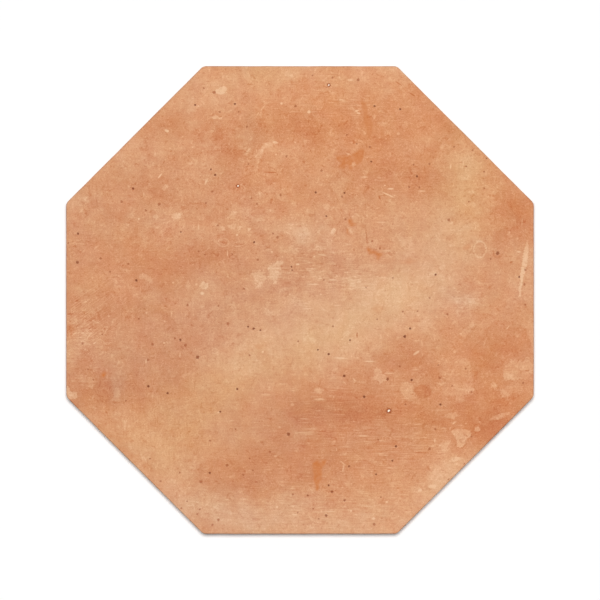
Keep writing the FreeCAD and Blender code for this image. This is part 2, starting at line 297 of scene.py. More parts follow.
DEEP_FIRED = [
    (518, 216, 24, 28, 0, -24), (490, 426, 36, 28, 45, -26), (498, 361, 46, 26, 0, -14),
    (518, 316, 24, 14, 0, -6), (412, 361, 36, 20, 0, -19), (338, 406, 54, 20, 4, -32),
    (380, 451, 50, 14, 0, -7), (310, 140, 40, 14, 0, -7), (424, 418, 52, 24, 0, -19),
    (256, 468, 50, 22, 0, -20), (298, 442, 44, 26, 0, -9), (339, 466, 26, 20, 0, -13),
    (102, 394, 36, 20, 0, -26), (164, 368, 46, 32, 10, -13), (130, 300, 70, 56, 0, -8),
    (74, 355, 14, 46, 0, -16), (160, 256, 56, 16, -5, -12), (202, 252, 36, 11, 0, -9),
    (160, 276, 26, 12, 0, -6), (76, 248, 14, 12, 0, -12), (375, 226, 11, 10, 0, -6),
    (226, 76, 10, 8, 0, -7), (277, 76, 10, 9, 0, -7), (299, 265, 22, 14, 0, -13),
    (302, 123, 50, 13, 0, -22), (384, 132, 46, 32, 0, -10), (370, 176, 36, 16, 10, -9),
    (402, 178, 34, 13, 0, -6), (424, 186, 18, 22, 0, -13), (228, 150, 14, 18, 0, -14),
    (246, 182, 22, 16, 0, -6), (174, 126, 18, 12, 0, -9), (456, 130, 26, 12, -45, -16),
    (502, 246, 14, 18, 0, -10), (170, 200, 54, 18, 0, -8), (134, 226, 26, 12, 0, -6),
    (272, 126, 12, 10, 0, -6), (326, 138, 14, 16, 0, -6), (402, 124, 12, 12, 0, -7),
    (318, 499, 50, 10, 0, -5), (476, 278, 16, 16, 0, -8), (484, 378, 24, 19, 0, -9),
    (452, 380, 18, 18, 0, -6), (448, 452, 18, 14, 0, -5), (522, 402, 14, 16, 0, -10),
    (208, 531, 14, 9, 0, -12), (242, 209.5, 6, 4, 0, -9), (379, 141, 7, 7, 0, -7), (70, 328, 6, 7, 0, -12),
    (266, 137.5, 11, 3, 18, -9), (250, 158, 5, 9, 0, -5), (259, 147, 22, 4, 47, -8),
]
# Where the clay fired more orange, or more pink where the strength is negative.
WARMTH = [
    (345, 104, 140, 62, 0, 5.5), (400, 150, 62, 42, 0, 2.5), (505, 195, 50, 50, 0, 4),
    (488, 394, 84, 76, 0, 3.6), (232, 312, 112, 46, 0, -4.5), (310, 270, 62, 26, 0, -3),
    (120, 370, 70, 38, 0, -5), (228, 514, 86, 36, 0, -6), (268, 430, 44, 26, 0, -3.3),
    (90, 220, 44, 20, 0, -2), (430, 262, 60, 50, 0, -2.5), (130, 430, 44, 20, -40, 2),
    (248, 128, 14, 24, 20, -3), (117, 384, 8, 12, 0, -5), (136, 266, 34, 22, 0, 2.2),
    (140, 205, 52, 38, 0, -1.6), (390, 474, 60, 30, 0, 1.5), (280, 178, 40, 30, 0, 2.5),
    (462, 300, 18, 10, 0, -6), (301, 237, 10, 10, 0, -3), (70, 328, 7, 8, 0, 4), (315, 412, 40, 16, 0, -2),
    (306, 232, 24, 20, 0, -3), (150, 403, 32, 12, 0, 2.5), (196, 362, 26, 18, 0, -1.5),
    (340, 492, 60, 14, 0, 1.5), (345, 526, 60, 10, 0, -1.5), (500, 342, 40, 14, 0, 1.2),
]
# Where it fired more ochre, mostly along the flame's band.
OCHRE = [
    (160, 435, 62, 42, 0, 3.0), (225, 385, 50, 28, 20, 2.2), (310, 346, 62, 24, 25, 2.6),
    (380, 305, 46, 26, 20, 2.1), (466, 185, 26, 52, 0, 4.2), (440, 240, 30, 30, 0, 1.2),
    (262, 72, 36, 14, 0, 2.1),
]
# Iron that bled out and stained the clay rust orange: a strength and an outline.
RUST_STAINS = [
    (0.75, [(336.4, 156.4), (341, 155.6), (348, 155.8), (353.6, 154.3), (359.3, 149.3), (363.8, 148.6),
        (364.3, 153), (363.6, 158.6), (361.4, 162), (357, 165), (353.6, 161), (351.6, 163), (352, 169.3),
        (349, 169.6), (347.5, 164.5), (344.5, 168.6), (340, 169.3), (338, 166), (341, 163),
        (336.4, 159.5)]),
    (0.55, [(360.6, 100), (364, 100), (367.2, 106), (368, 113), (371.5, 119.5), (373, 124.5), (372, 130),
        (369.5, 138), (367, 135), (366, 126), (363.5, 118), (363.8, 112), (361.3, 106)]),
    (0.8, [(313, 463), (316.4, 460.5), (321, 462.5), (323, 460), (326.6, 459.3), (325.5, 463.6),
        (321.8, 468.6), (321.4, 479.5), (319.5, 482.5), (318.6, 491), (316.2, 490.5), (314.5, 482.3),
        (313.6, 473), (312.3, 467)]),
    (0.85, [(347.6, 219.3), (350.5, 218.5), (353, 220), (353.6, 222.6), (357, 223.8), (356.6, 225.2),
        (352.8, 226.6), (349.8, 225.8), (348.2, 223.5)]),
    (0.9, [(347, 228.2), (348.5, 228.4), (349, 233), (350.4, 235), (353, 235.6), (352.6, 236.8),
        (348.8, 236), (347.2, 233)]),
    (1.0, [(367.2, 246.5), (369.5, 247.6), (372.4, 250.5), (377, 252.3), (382, 254.4), (381.5, 256.5),
        (379.8, 257), (379.2, 260), (377, 259.7), (377.2, 256.4), (374, 255.7), (371.5, 254.2),
        (368.6, 254.6), (367.6, 251)]),
    (0.3, [(381, 127), (384, 129), (384, 135), (381, 137), (380, 132)]),
    (0.3, [(399, 260), (410, 258.5), (418, 261), (412, 264), (402, 263.5)]),
    (0.45, [(463, 246), (468, 244.5), (471, 247), (468, 249.5), (464, 249)]),
    (0.9, [(101, 374), (103.5, 371.6), (106.6, 373), (105, 376.4), (101.6, 378)]),
    (0.35, [(382.5, 462), (386, 461), (388, 464), (385, 466.5), (382, 465)]),
    (0.25, [(372, 308), (378, 305), (384, 309), (380, 313), (374, 312)]),
    (0.22, [(253, 347), (259, 344), (264, 347), (260, 350)]),
    (0.3, [(472, 350), (477, 349), (479, 353), (475, 355)]),
    (0.3, [(474, 371), (477, 372), (476.5, 379), (474, 378)]),
]
# Flakes of skimmed clay with sharp edges, and after them the darker ones: a strength and an outline.
FLAKES = [
    (0.95, [(216, 90), (220, 88), (224, 86), (227.5, 88), (227, 92), (222.5, 94.5), (219, 95), (216, 93)]),
    (0.85, [(210, 117), (216, 115.2), (222.5, 118), (220, 119.5), (214, 118.5)]),
    (0.45, [(254, 171), (256, 160), (258, 152), (261, 147), (265, 143.5), (270, 142), (276, 142.5),
        (274, 146), (268, 147), (264, 150), (261.5, 156), (259, 163), (257, 171)]),
    (0.45, [(244.5, 156), (247, 151), (250.5, 147), (251.5, 149.5), (249.5, 153.5), (246.5, 157)]),
    (0.9, [(162, 187), (166, 184.5), (168.5, 186), (167, 189.5), (163, 191)]),
    (0.75, [(170.5, 215.5), (175, 212.5), (180, 214), (181, 218), (177.5, 220.5), (172.5, 218)]),
    (0.35, [(205, 180), (208, 178), (207.5, 184), (204, 185)]),
    (0.6, [(229, 214), (233, 211.5), (237, 212), (236, 215), (229, 216)]),
    (0.65, [(227, 225), (231, 223.5), (236, 224), (236.5, 228), (232, 229.5), (229, 227.5)]),
    (0.55, [(238, 226.5), (243, 226), (242, 229), (238.5, 229.5)]),
    (0.8, [(220, 227), (224, 226.5), (226, 229), (223, 231)]),
    (1.0, [(247, 228), (251, 227.5), (252, 230.5), (248, 231)]),
    (0.4, [(211, 223), (216, 222.4), (217, 226), (213, 227)]),
    (0.3, [(285, 71), (290, 70.5), (292, 74), (289, 77), (286, 75)]),
    (0.6, [(323, 205.5), (327.5, 203), (330.5, 206), (329, 210), (324.5, 209.5)]),
    (0.35, [(339, 101), (344, 99.5), (348, 101), (345, 103), (340, 103)]),
    (0.35, [(356, 142), (362, 140.5), (364.5, 144), (360, 146), (357, 145)]),
    (0.35, [(402, 125), (406, 122), (409, 124), (408, 129), (404, 132)]),
    (0.3, [(441, 145.5), (447, 144.5), (452, 147), (450, 150), (443, 149.5)]),
    (1.1, [(331, 231), (333, 229), (336, 230), (336, 233), (333, 234.5), (331, 233.5)]),
    (0.8, [(199.5, 284.5), (204, 281), (208, 284), (208, 288), (204, 289.5), (201, 287.5)]),
    (0.6, [(185, 282), (189, 281), (190, 286), (187.5, 289), (185.5, 286)]),
    (0.6, [(137.5, 275), (144, 273), (150, 277), (153, 282), (150.5, 283), (146, 279.5), (140.5, 278)]),
    (1.15, [(66.5, 386), (70, 387.5), (71, 392), (77.5, 392.5), (76, 399), (70, 400), (66.5, 397.5)]),
    (0.5, [(113, 392), (115, 388.8), (118, 388.6), (120, 391), (120.5, 396), (119, 402), (116.5, 403),
        (113.6, 399)]),
    (0.35, [(122, 419), (125.5, 418), (127, 426), (125, 431), (122.5, 427)]),
    (0.2, [(149, 410), (153, 409), (154, 418), (151, 421), (149.5, 416)]),
    (0.45, [(460, 335), (466, 327), (473, 322), (475, 325), (469, 332), (463, 337)]),
    (0.95, [(528, 240), (529, 244), (528.5, 254), (527, 265), (525, 271), (522.5, 282.5), (520.5, 297),
        (519, 296), (519.5, 285), (520.8, 271), (522.5, 260), (525, 249)]),
    (0.3, [(529, 317.5), (534, 320), (534, 355), (530.5, 350), (531, 342.5), (529, 335), (526, 329)]),
    (0.7, [(375, 367.5), (381, 369), (382.5, 374), (387, 376), (387.5, 380), (381, 382.5), (379, 381),
        (373, 380), (374, 375)]),
    (1.0, [(450.5, 431.5), (454, 429), (461, 429), (466, 430), (471, 430), (471.5, 437), (467, 439),
        (465.5, 441), (465, 445), (461, 448), (457, 446.5), (456.5, 441), (454.5, 436)]),
    (1.2, [(475, 427.5), (477.5, 426.3), (480, 427.5), (481, 430), (479, 432.5), (476, 432), (474.5, 430)]),
    (0.65, [(443.5, 416), (447, 413), (454, 411.5), (458, 414.5), (454, 419.5), (447.5, 418)]),
    (0.65, [(487, 420), (493, 416.5), (501, 413.5), (510, 411.5), (511, 413.5), (505, 417.5),
        (497, 420.5)]),
    (0.45, [(441, 447), (444, 444), (446, 440.6), (451, 440), (451.5, 443), (448, 446), (447, 450),
        (442, 451)]),
    (0.6, [(490, 383), (494, 382.6), (498, 386.5), (497, 388.6), (493, 387)]),
    (0.5, [(401, 382.5), (410, 382.5), (414, 386), (412.5, 394), (419, 399), (422.5, 404), (416, 405),
        (409, 402.5), (404, 397.5), (400, 390)]),
    (0.2, [(412.5, 367), (421, 368), (420, 371), (413, 370.5)]),
    (0.65, [(314, 389), (319, 387.5), (324, 388), (324, 392), (320, 394), (314.5, 392.5)]),
    (0.3, [(344, 482), (348, 480), (350, 484), (346, 486.5)]),
    (0.2, [(342, 464), (345, 461), (347, 465), (345, 472), (342, 474), (343, 469)]),
    (0.45, [(427, 485.5), (433, 484), (438, 486), (434, 488.5), (428, 488)]),
    (0.5, [(449, 460), (458, 457), (466, 458.5), (459, 461), (452, 463)]),
    (0.55, [(503, 374), (508, 373), (514, 374.5), (513, 379.5), (505, 380)]),
    (0.45, [(500, 389), (503, 388.4), (505.5, 391.5), (509, 393.5), (507.5, 397.5), (502.6, 397)]),
    (0.22, [(453, 385), (460, 383), (468, 384.5), (475, 388), (470, 392.5), (461, 391), (455, 390)]),
    (-0.35, [(91, 318.5), (94, 314.5), (99, 310.5), (104, 306), (111, 302), (112, 312), (104, 318),
        (97, 320.5)]),
    (-0.6, [(414, 390), (420, 385), (427.5, 384.5), (432.5, 389), (431, 395), (425, 399), (417.5, 397.5)]),
]
# Broken, scaly scum, and after it the darker patches: a strength and an outline.
SCUM = [
    (0.4, [(78, 200), (84, 198), (89, 200), (87.5, 205), (81, 207), (79, 204)]),
    (0.2, [(286, 227.5), (292.5, 224), (300, 227.5), (307.5, 230), (310.5, 237.5), (307.5, 245), (300, 246),
        (294, 242.5), (287.5, 237.5), (291, 232.5)]),
    (0.6, [(253, 274), (257, 271), (263, 271.5), (267, 275), (267.5, 280), (262, 284), (256, 283),
        (252.5, 278)]),
    (0.8, [(270, 268), (274, 263), (278, 259), (281.5, 260), (282, 266), (281, 271), (279, 277),
        (277, 282.5), (272, 281), (269, 276)]),
    (0.25, [(280, 248), (290, 247), (299, 249), (298, 253), (288, 254), (281, 252)]),
    (0.3, [(318, 246), (330, 246), (340, 249), (340, 252), (328, 252), (318, 250)]),
    (0.4, [(347, 279), (352, 277), (360, 278), (363, 282), (367, 287), (364, 290), (357, 289), (350, 288)]),
    (0.4, [(261, 308), (270, 309), (275, 312), (284, 313), (280, 315), (270, 315), (264, 313)]),
    (0.4, [(290, 296), (295, 293), (299, 296), (302, 301), (309, 303), (305, 307), (298, 304), (292, 303)]),
    (0.32, [(66.5, 336), (72.5, 330), (82.5, 327.5), (91, 329), (90, 335), (85, 342.5), (85, 347.5),
        (79, 350), (77.5, 360), (70, 365), (66.5, 362.5)]),
    (0.5, [(76, 376), (87.5, 375), (96, 378), (97, 385), (92.5, 387), (85, 382.5), (77.5, 381)]),
    (0.45, [(67, 316), (72, 314), (77, 317), (76, 322), (70, 324), (67, 322)]),
    (0.4, [(396, 238), (402, 235), (410, 236), (413, 241), (408, 245), (400, 244)]),
    (0.42, [(456, 298), (462, 295.5), (472, 297), (478, 300), (475, 304), (466, 306), (458, 306)]),
    (0.48, [(440, 362), (446, 357.5), (455, 357.5), (462, 360), (470, 363), (472, 372), (474, 380),
        (476, 386), (475, 392), (464, 394), (465, 401), (457.5, 402.5), (455, 397.5), (445, 394),
        (435, 390), (436, 384), (442, 380)]),
    (0.4, [(502.5, 367.5), (512.5, 359), (525, 360), (534, 365), (534, 377.5), (525, 380), (517.5, 379),
        (512.5, 380), (504, 377.5)]),
    (0.4, [(491, 384), (498, 385), (501, 389), (512.5, 385), (520, 383), (523, 388), (521, 394), (512, 395),
        (508, 397), (502, 397), (500, 392), (494, 389)]),
    (0.32, [(428, 462), (436, 460), (440, 468), (446, 474), (440, 480), (432, 476)]),
    (0.3, [(436, 447), (441, 440), (450, 438), (453, 446), (450, 456), (466, 458), (458, 467), (446, 466),
        (439, 457)]),
    (-0.3, [(482, 330), (500, 320), (518, 322), (527, 330), (530, 345), (526, 352), (508, 354),
        (490, 350)]),
    (-0.55, [(211, 128), (220, 126), (224, 133), (221, 141), (213, 140)]),
    (-0.55, [(226, 146), (234, 148), (243, 151), (239, 158), (230, 158)]),
]
# Where the scraper dragged the face along the photograph's rows, and where a hand smeared it up and down.
DRAGGED = [
    (322, 270, 48, 20, 0, 1), (352, 283, 26, 10, 0, 0.8), (332, 410, 74, 40, 0, 0.8),
    (388, 450, 64, 40, 0, 0.9), (320, 512, 110, 24, 0, 0.8), (345, 105, 62, 20, 0, 0.7),
    (402, 186, 42, 14, 0, 0.6), (460, 300, 42, 26, 0, 0.35), (90, 342, 28, 26, 0, 0.4),
    (280, 480, 62, 26, 0, 0.5),
]
SMEARED = [
    (145, 430, 46, 42, 0, 1), (165, 330, 60, 50, 0, 0.5), (512, 232, 22, 36, 0, 0.7),
    (468, 150, 26, 30, 0, 0.5), (200, 200, 50, 42, 0, 0.35), (84, 206, 22, 20, 0, 0.6),
]
# Where a brush swept it slantwise.
BRUSHED = [
    (88, 320, 30, 26, 0, 1), (166, 230, 24, 14, 38, 0.7), (96, 290, 30, 16, 20, 0.5),
    (470, 330, 26, 20, 0, 0.4),
]
BRUSH_LEAN = 35  # degrees
# Where the face's fine texture is stronger than elsewhere, and calmer where the strength is negative.
BUSY = [
    (270, 180, 110, 62, 0, 0.2), (285, 410, 90, 62, 0, -0.22), (340, 322, 56, 26, 0, -0.15),
    (440, 260, 40, 40, 0, -0.1), (82, 336, 22, 28, 0, 0.4),
]

# Each pit sinks one point of the face's grid, which is first moved to the pit's middle. A pit at the very rim
# has no point near enough.
PIT_DEPTH = 0.3  # of the widest pit
SNAP_REACH = 1.5  # pixels from a pit to its point
RIM_LINES = 2  # of the grid, along the rim, that stay in place
inner = (slice(RIM_LINES, -RIM_LINES), slice(RIM_LINES, -RIM_LINES))
inner_col = face_x[inner].ravel() / PIXEL + PHOTO_MIDDLE
inner_row = PHOTO_MIDDLE - face_y[inner].ravel() / PIXEL
pits = np.array(DARK_PITS + BROWN_PITS + RED_PITS + LIME_POPS)
closest = np.array([((inner_col - c) ** 2 + (inner_row - r) ** 2).argmin() for c, r, radius in pits])
snapped = np.hypot(pits[:, 0] - inner_col[closest], pits[:, 1] - inner_row[closest]) < SNAP_REACH
pits = pits[snapped]
pit_point = face_id[inner].ravel()[closest[snapped]]
face_x.flat[pit_point] = (pits[:, 0] - PHOTO_MIDDLE) * PIXEL
face_y.flat[pit_point] = (PHOTO_MIDDLE - pits[:, 1]) * PIXEL

# The face lies below the CAD's by the pits and by the scraper's broad swells and narrower ridges.
RIPPLE_DEPTH = 0.35
SWELL_SIZE, RIDGE_SIZE, RIDGE_STRETCH = 70, 14, 3
CREST = 1.3  # the height of ripple that reaches the CAD's face
ripple = 0.7 * clouds(face_x, face_y, SWELL_SIZE, 1, 2)
ripple += 0.2 * clouds(face_x, face_y * RIDGE_STRETCH, RIDGE_SIZE, 2, 2)
sunk = RIPPLE_DEPTH * (CREST - ripple).clip(0, 3) / 2
sunk.flat[pit_point] += PIT_DEPTH * pits[:, 2] / pits[:, 2].max()
face_z = THICKNESS - sunk

# The sides: the face's rim carried out over the worn edge, down the leaning side and in round the back's
# edge. Drag lines and hollows go in from there, and chips are broken from the back's edge.
SIDE_ROUGHNESS = 0.45
SIDE_CREST = 1.6  # the height of drag that reaches the CAD's side
LINE_HEIGHT, LINE_STRETCH = 2.2, 9  # of the drag lines, and how many times longer than high they are
HOLLOW_SIZE = 9
FACE_CALM, BACK_CALM = 3, 4  # the distances from face and back within which the sides are smoother
CHIP_DEPTH, CHIP_SIZE, CHIP_HEIGHT = 1.6, 8, 5
CHIP_START = 0.35  # the height of cloud above which a chip is broken out
rim_x, rim_y, rim_sunk = rim(face_x), rim(face_y), rim(sunk)
rim_lift = half_width(rim_y, face_reach, face_radius)[1]
out_x, out_y = np.sign(rim_x) * np.cos(rim_lift), np.sign(rim_y) * np.sin(rim_lift)
step = np.hypot(np.roll(rim_x, -1) - rim_x, np.roll(rim_y, -1) - rim_y)
rim_run = np.concatenate([[0], np.cumsum(step)])
over = np.linspace(0, np.pi / 2, EDGE_STEPS + 1)[1:]
down = np.linspace(0, 1, SIDE_STEPS + 1)[1:-1]
under = np.linspace(0, np.pi / 2, BACK_EDGE_STEPS + 1)
side_out = np.concatenate([
    WORN_EDGE * np.sin(over),
    WORN_EDGE - UNDERCUT * down,
    WORN_EDGE - UNDERCUT - BACK_EDGE * (1 - np.cos(under)),
])
side_z = np.concatenate([
    THICKNESS - WORN_EDGE * (1 - np.cos(over)),
    THICKNESS - WORN_EDGE - (THICKNESS - WORN_EDGE - BACK_EDGE) * down,
    BACK_EDGE * (1 - np.sin(under)),
])
side_run, side_level = rim_run[None, :-1], side_z[:, None]
drag = clouds(side_run / LINE_STRETCH, side_level, LINE_HEIGHT, 3, 2)
drag += clouds(side_run, side_level, HOLLOW_SIZE, 4, 2)
calm = ((THICKNESS - side_level) / FACE_CALM).clip(0.1, 1) * np.minimum(1, side_level / BACK_CALM)
chips = (clouds(side_run, side_level, CHIP_SIZE, 6, 2) - CHIP_START).clip(0, 1)
chips *= (1 - side_level / CHIP_HEIGHT).clip(0, 1)
hollow = SIDE_ROUGHNESS * (SIDE_CREST - drag).clip(0, 4) / 3 * calm + CHIP_DEPTH * chips
reach_out = side_out[:, None] - hollow
side_x, side_y = rim_x + reach_out * out_x, rim_y + reach_out * out_y
side_height = side_level - rim_sunk * (side_level / THICKNESS) ** 2
side_id = face_id.size + np.arange(side_x.size).reshape(side_x.shape)

# The back: the face's grid with fewer lines, a little smaller, and rough from the sanded board it dried on.
BACK_ROUGHNESS = 0.45
BUMP_SIZE = 22
back_scale = (face_reach + side_out[-1] - BACK_MARGIN) / face_reach
back_x, back_y = (part[::BACK_STEP, ::BACK_STEP] * back_scale for part in (face_x, face_y))
back_z = BACK_ROUGHNESS * (0.6 + clouds(back_x, back_y, BUMP_SIZE, 5, 3)).clip(0.1, 2) / 2
back_id = face_id.size + side_id.size + np.arange(back_x.size).reshape(back_x.shape)


def quads(lower, upper):
    """Four-cornered faces between neighbouring rows of point numbers, one from each point to the next."""
    corners = [lower[..., :-1], lower[..., 1:], upper[..., 1:], upper[..., :-1]]
    return np.stack(corners, axis=-1).reshape(-1, 4)


closed_sides = np.vstack([rim(face_id), side_id])
closed_sides = np.hstack([closed_sides, closed_sides[:, :1]])
back_rim = np.append(rim(back_id), back_id[0, 0])
join = np.arange(len(back_rim) - 1)[:, None]
outer = closed_sides[-1][join * BACK_STEP + np.arange(BACK_STEP, -1, -1)]
face_quads = quads(face_id[:-1], face_id[1:])
side_quads = quads(closed_sides[1:], closed_sides[:-1])
back_join = np.hstack([back_rim[join], back_rim[join + 1], outer])
back_quads = quads(back_id[1:], back_id[:-1])
points = np.concatenate([
    np.stack(part, axis=-1).reshape(-1, 3)
    for part in ((face_x, face_y, face_z), (side_x, side_y, side_height), (back_x, back_y, back_z))
])
polygons = [face for part in (face_quads, side_quads, back_join, back_quads) for face in part.tolist()]
mesh = bpy.data.meshes.new("fired_tile")
mesh.from_pydata(points * MM, [], polygons)
mesh.polygons.foreach_set("use_smooth", np.ones(len(mesh.polygons), bool))

# The fired colour at every point: zones of the face with edges blown about, which go over into the clouds of
# the sides and the back. The sides are paler and warmer clay, and that is partly painted light and warm
# bounce that lift their shade.
FADE_START, FADE_END = 6, 1  # millimetres below the face where its looks begin and where they are full
BACK_CLOUDS = [(13, 150, 15), (8, 30, 16)]  # steps of tone, size in pixels and seed
# Paleness and warmth of the sides: partly their sandy clay, partly painted light lifting their shade.
SIDE_PALENESS_AND_PAINTED_LIGHT, SIDE_WARMTH_AND_PAINTED_BOUNCE = 10, 16
SIDE_CLOUD_TONE, SIDE_CLOUD_SIZE, SIDE_CLOUD_STRETCH = 7, 17, 1.6
col = points[:, 0] / PIXEL + PHOTO_MIDDLE
row = PHOTO_MIDDLE - points[:, 1] / PIXEL
faced = eased(((points[:, 2] - THICKNESS + FADE_START) / (FADE_START - FADE_END)).clip(0, 1))


def blown(place, seed):
    """Columns or rows pushed about by clouds, by about 5 pixels in broad waves and 1.5 in narrow ones."""
    return place + 5 * clouds(col, row, 40, seed, 3) + 1.5 * clouds(col, row, 9, seed + 1)


blown_col, blown_row = blown(col, 11), blown(row, 13)
face_tone = zones(KILN_FLASH, blown_col, blown_row) + zones(DEEP_FIRED, blown_col, blown_row)
back_tone = sum(steps * clouds(col, row, size, seed, 2) for steps, size, seed in BACK_CLOUDS)
side_clouds = clouds(side_run, SIDE_CLOUD_STRETCH * side_level, SIDE_CLOUD_SIZE, 17, 3)
back_tone[side_id] += SIDE_PALENESS_AND_PAINTED_LIGHT + SIDE_CLOUD_TONE * side_clouds
fired = np.stack([
    (face_tone * faced + back_tone * (1 - faced)) / 100,
    zones(WARMTH, blown_col, blown_row) * faced + SIDE_WARMTH_AND_PAINTED_BOUNCE * (1 - faced),
    zones(OCHRE, blown_col, blown_row) * faced,
], axis=-1)

# Flakes, scum and stains on the face, as depths inside their outlines, and the way the clay was dragged.
OUTLINE_REACH = 10.0  # pixels outside an outline, past which it has no effect
FACE_LEVEL = 0.9 * THICKNESS  # above which a point counts as on the face
STAIN_FADE = 2  # pixels
SIDE_BUSY = 1.0  # how much stronger the fine texture is on the sides and the back
SIDE_DRAG = 0.3


def depth_inside(outline, col, row):
    """How far each place lies inside a closed outline, negative outside it: the distance to the nearest edge,
    inside where a line to the right crosses an odd number of edges."""
    nearest = np.full(col.shape, np.inf)
    inside = np.zeros(col.shape, bool)
    for (c0, r0), (c1, r1) in zip(outline, outline[1:] + outline[:1]):
        share = ((col - c0) * (c1 - c0) + (row - r0) * (r1 - r0)) / ((c1 - c0) ** 2 + (r1 - r0) ** 2)
        share = share.clip(0, 1)
        nearest = np.minimum(nearest, np.hypot(col - c0 - share * (c1 - c0), row - r0 - share * (r1 - r0)))
        if r0 != r1:
            inside ^= ((r0 > row) != (r1 > row)) & (col < c0 + (row - r0) * (c1 - c0) / (r1 - r0))
    return np.where(inside, nearest, -nearest)


def deepest(listed, raggedness):
    """At each point, the depth inside the outline that it lies deepest in, and that outline's strength. Small
    clouds push the edges about by this many pixels. Far from every outline the depth is -OUTLINE_REACH."""
    ragged_col = col + raggedness * clouds(col, row, 5, 19, 2)
    ragged_row = row + raggedness * clouds(col, row, 5, 20, 2)
    depth, strengths = np.full(col.shape, -OUTLINE_REACH), np.zeros(col.shape)
    for strength, outline in listed:
        (left, top), (right, bottom) = np.min(outline, axis=0), np.max(outline, axis=0)
        beside = np.abs(ragged_col - (left + right) / 2) < (right - left) / 2 + OUTLINE_REACH
        above = np.abs(ragged_row - (top + bottom) / 2) < (bottom - top) / 2 + OUTLINE_REACH
        near = np.flatnonzero(beside & above)
        here = depth_inside(outline, ragged_col[near], ragged_row[near])
        deeper = here > depth[near]
        depth[near[deeper]] = here[deeper]
        strengths[near[deeper]] = strength
    return np.where(points[:, 2] > FACE_LEVEL, depth, -OUTLINE_REACH), strengths


def store(name, domain, values):
    """Keeps three values for each point or corner of the mesh under this name, for the material to read."""
    layer = mesh.attributes.new(name, "FLOAT_VECTOR", domain)
    layer.data.foreach_set("vector", values.astype(np.float32).ravel())


flake_depth, flake_strength = deepest(FLAKES, 0.5)
scum_depth, scum_strength = deepest(SCUM, 1.5)
stain_depth, stain_strength = deepest(RUST_STAINS, 0.5)
stained = stain_strength * (0.5 + stain_depth / STAIN_FADE).clip(0, 1)
busy = 1 + zones(BUSY, col, row) * faced + SIDE_BUSY * (1 - faced)
swept = [zones(listed, blown_col, blown_row) * faced for listed in (DRAGGED, SMEARED, BRUSHED)]
swept[0][side_id] = SIDE_DRAG
store("fired", "POINT", fired)
store("skin", "POINT", np.stack([flake_depth, flake_strength, stained], axis=-1))
store("film", "POINT", np.stack([scum_depth, scum_strength, busy], axis=-1))
store("swept", "POINT", np.stack(swept, axis=-1))


def store_marks(name, listed):
    """Stores, at each corner of each face, how far it lies along and across the mark nearest to that face, in
    half axes, and the mark's strength. All corners of a face measure from the same mark, so the shader can
    draw its edge finer than the mesh. The sides and the back get a place far from any mark."""
    FAR_OFF = (99.0, 99.0, 0.0)
    marks = np.array(listed, np.float32)
    corner_col, corner_row = (part.astype(np.float32)[face_quads] for part in (col, row))
    along, across = ellipse(marks, corner_col.mean(axis=1), corner_row.mean(axis=1))
    nearest = marks[((np.hypot(along, across) - 1) * marks[:, 3, None]).argmin(axis=0)]
    strength = np.broadcast_to(nearest[:, 5, None], corner_col.shape)
    near = np.stack([*ellipse(nearest, corner_col, corner_row), strength], axis=-1).reshape(-1, 3)
    store(name, "CORNER", np.concatenate([near, np.tile(FAR_OFF, (len(mesh.loops) - len(near), 1))]))


# How dark each kind of pit is painted: its grit's colour and painted shade in its hollow.
DARK, BROWN, RED, LIME = 0.87, 0.75, 0.6, 0.5  # strengths, of which LIME marks a hollow with lime in it
kinds = ((DARK_PITS, DARK), (BROWN_PITS, BROWN), (RED_PITS, RED), (LIME_POPS, LIME))
store_marks("pit", [(c, r, radius, radius, 0, dark) for listed, dark in kinds for c, r, radius in listed])
store_marks("drag_mark", DRAG_MARKS)
store_marks("blister", BLISTERS)

# Two flat maps of the surface, one value for each corner: run, in millimetres, along and across the way the
# clay was dragged, and OFBake, with the face large and the sides in four strips above it beside the back.
FACE_SHARE, STRIP_SHARE, BACK_SHARE, GAP = 0.70, 0.062, 0.28, 0.006
STRIPS = 4
corner_point = np.empty(len(mesh.loops), np.int32)
mesh.loops.foreach_get("vertex_index", corner_point)
flat = points[corner_point, :2]
run_map = flat.copy()
bake_map = GAP + FACE_SHARE * (flat / REACH / 2 + 0.5)
side_corners = slice(face_quads.size, face_quads.size + side_quads.size)
back_corners = slice(side_corners.stop, len(corner_point))
profile = np.cumsum(np.hypot(np.diff(side_out, prepend=0), np.diff(side_z, prepend=THICKNESS)))
lengths = np.broadcast_to(rim_run, closed_sides.shape)
drops = np.broadcast_to(np.append(0, profile)[:, None], closed_sides.shape)
corner_run, corner_drop = (quads(part[1:], part[:-1]).ravel() for part in (lengths, drops))
run_map[side_corners] = np.stack([corner_run, corner_drop], axis=-1)
strip_run = rim_run[-1] / STRIPS
strip = (quads(lengths[1:], lengths[:-1]).mean(axis=1) // strip_run).clip(0, STRIPS - 1).repeat(4)
millimetre = FACE_SHARE / REACH / 2
bake_map[side_corners, 0] = GAP + (corner_run - strip * strip_run) * millimetre
bake_map[side_corners, 1] = FACE_SHARE + 2 * GAP + strip * (STRIP_SHARE + GAP) + corner_drop * millimetre
bake_map[back_corners] = FACE_SHARE + 2 * GAP + BACK_SHARE * (flat[back_corners] / REACH / 2 + 0.5)
for name, values in (("run", run_map), ("OFBake", bake_map)):
    mesh.uv_layers.new(name=name).data.foreach_set("uv", values.astype(np.float32).ravel())


def add_node(tree, kind, inputs=None, **settings):
    """A node of this kind with these settings. An input is linked if it is given a socket, and set if not."""
    node = tree.nodes.new(kind)
    for name, value in settings.items():
        setattr(node, name, value)
    for name, value in (inputs or {}).items():
        if isinstance(value, bpy.types.NodeSocket):
            tree.links.new(value, node.inputs[name])
        else:
            node.inputs[name].default_value = value
    return node


def linear(colour):
    """A colour written in the photograph's 0 to 255, as the linear colour that a shader takes."""
    share = np.array(colour) / 255
    return (*np.where(share <= 0.04045, share / 12.92, ((share + 0.055) / 1.055) ** 2.4), 1.0)


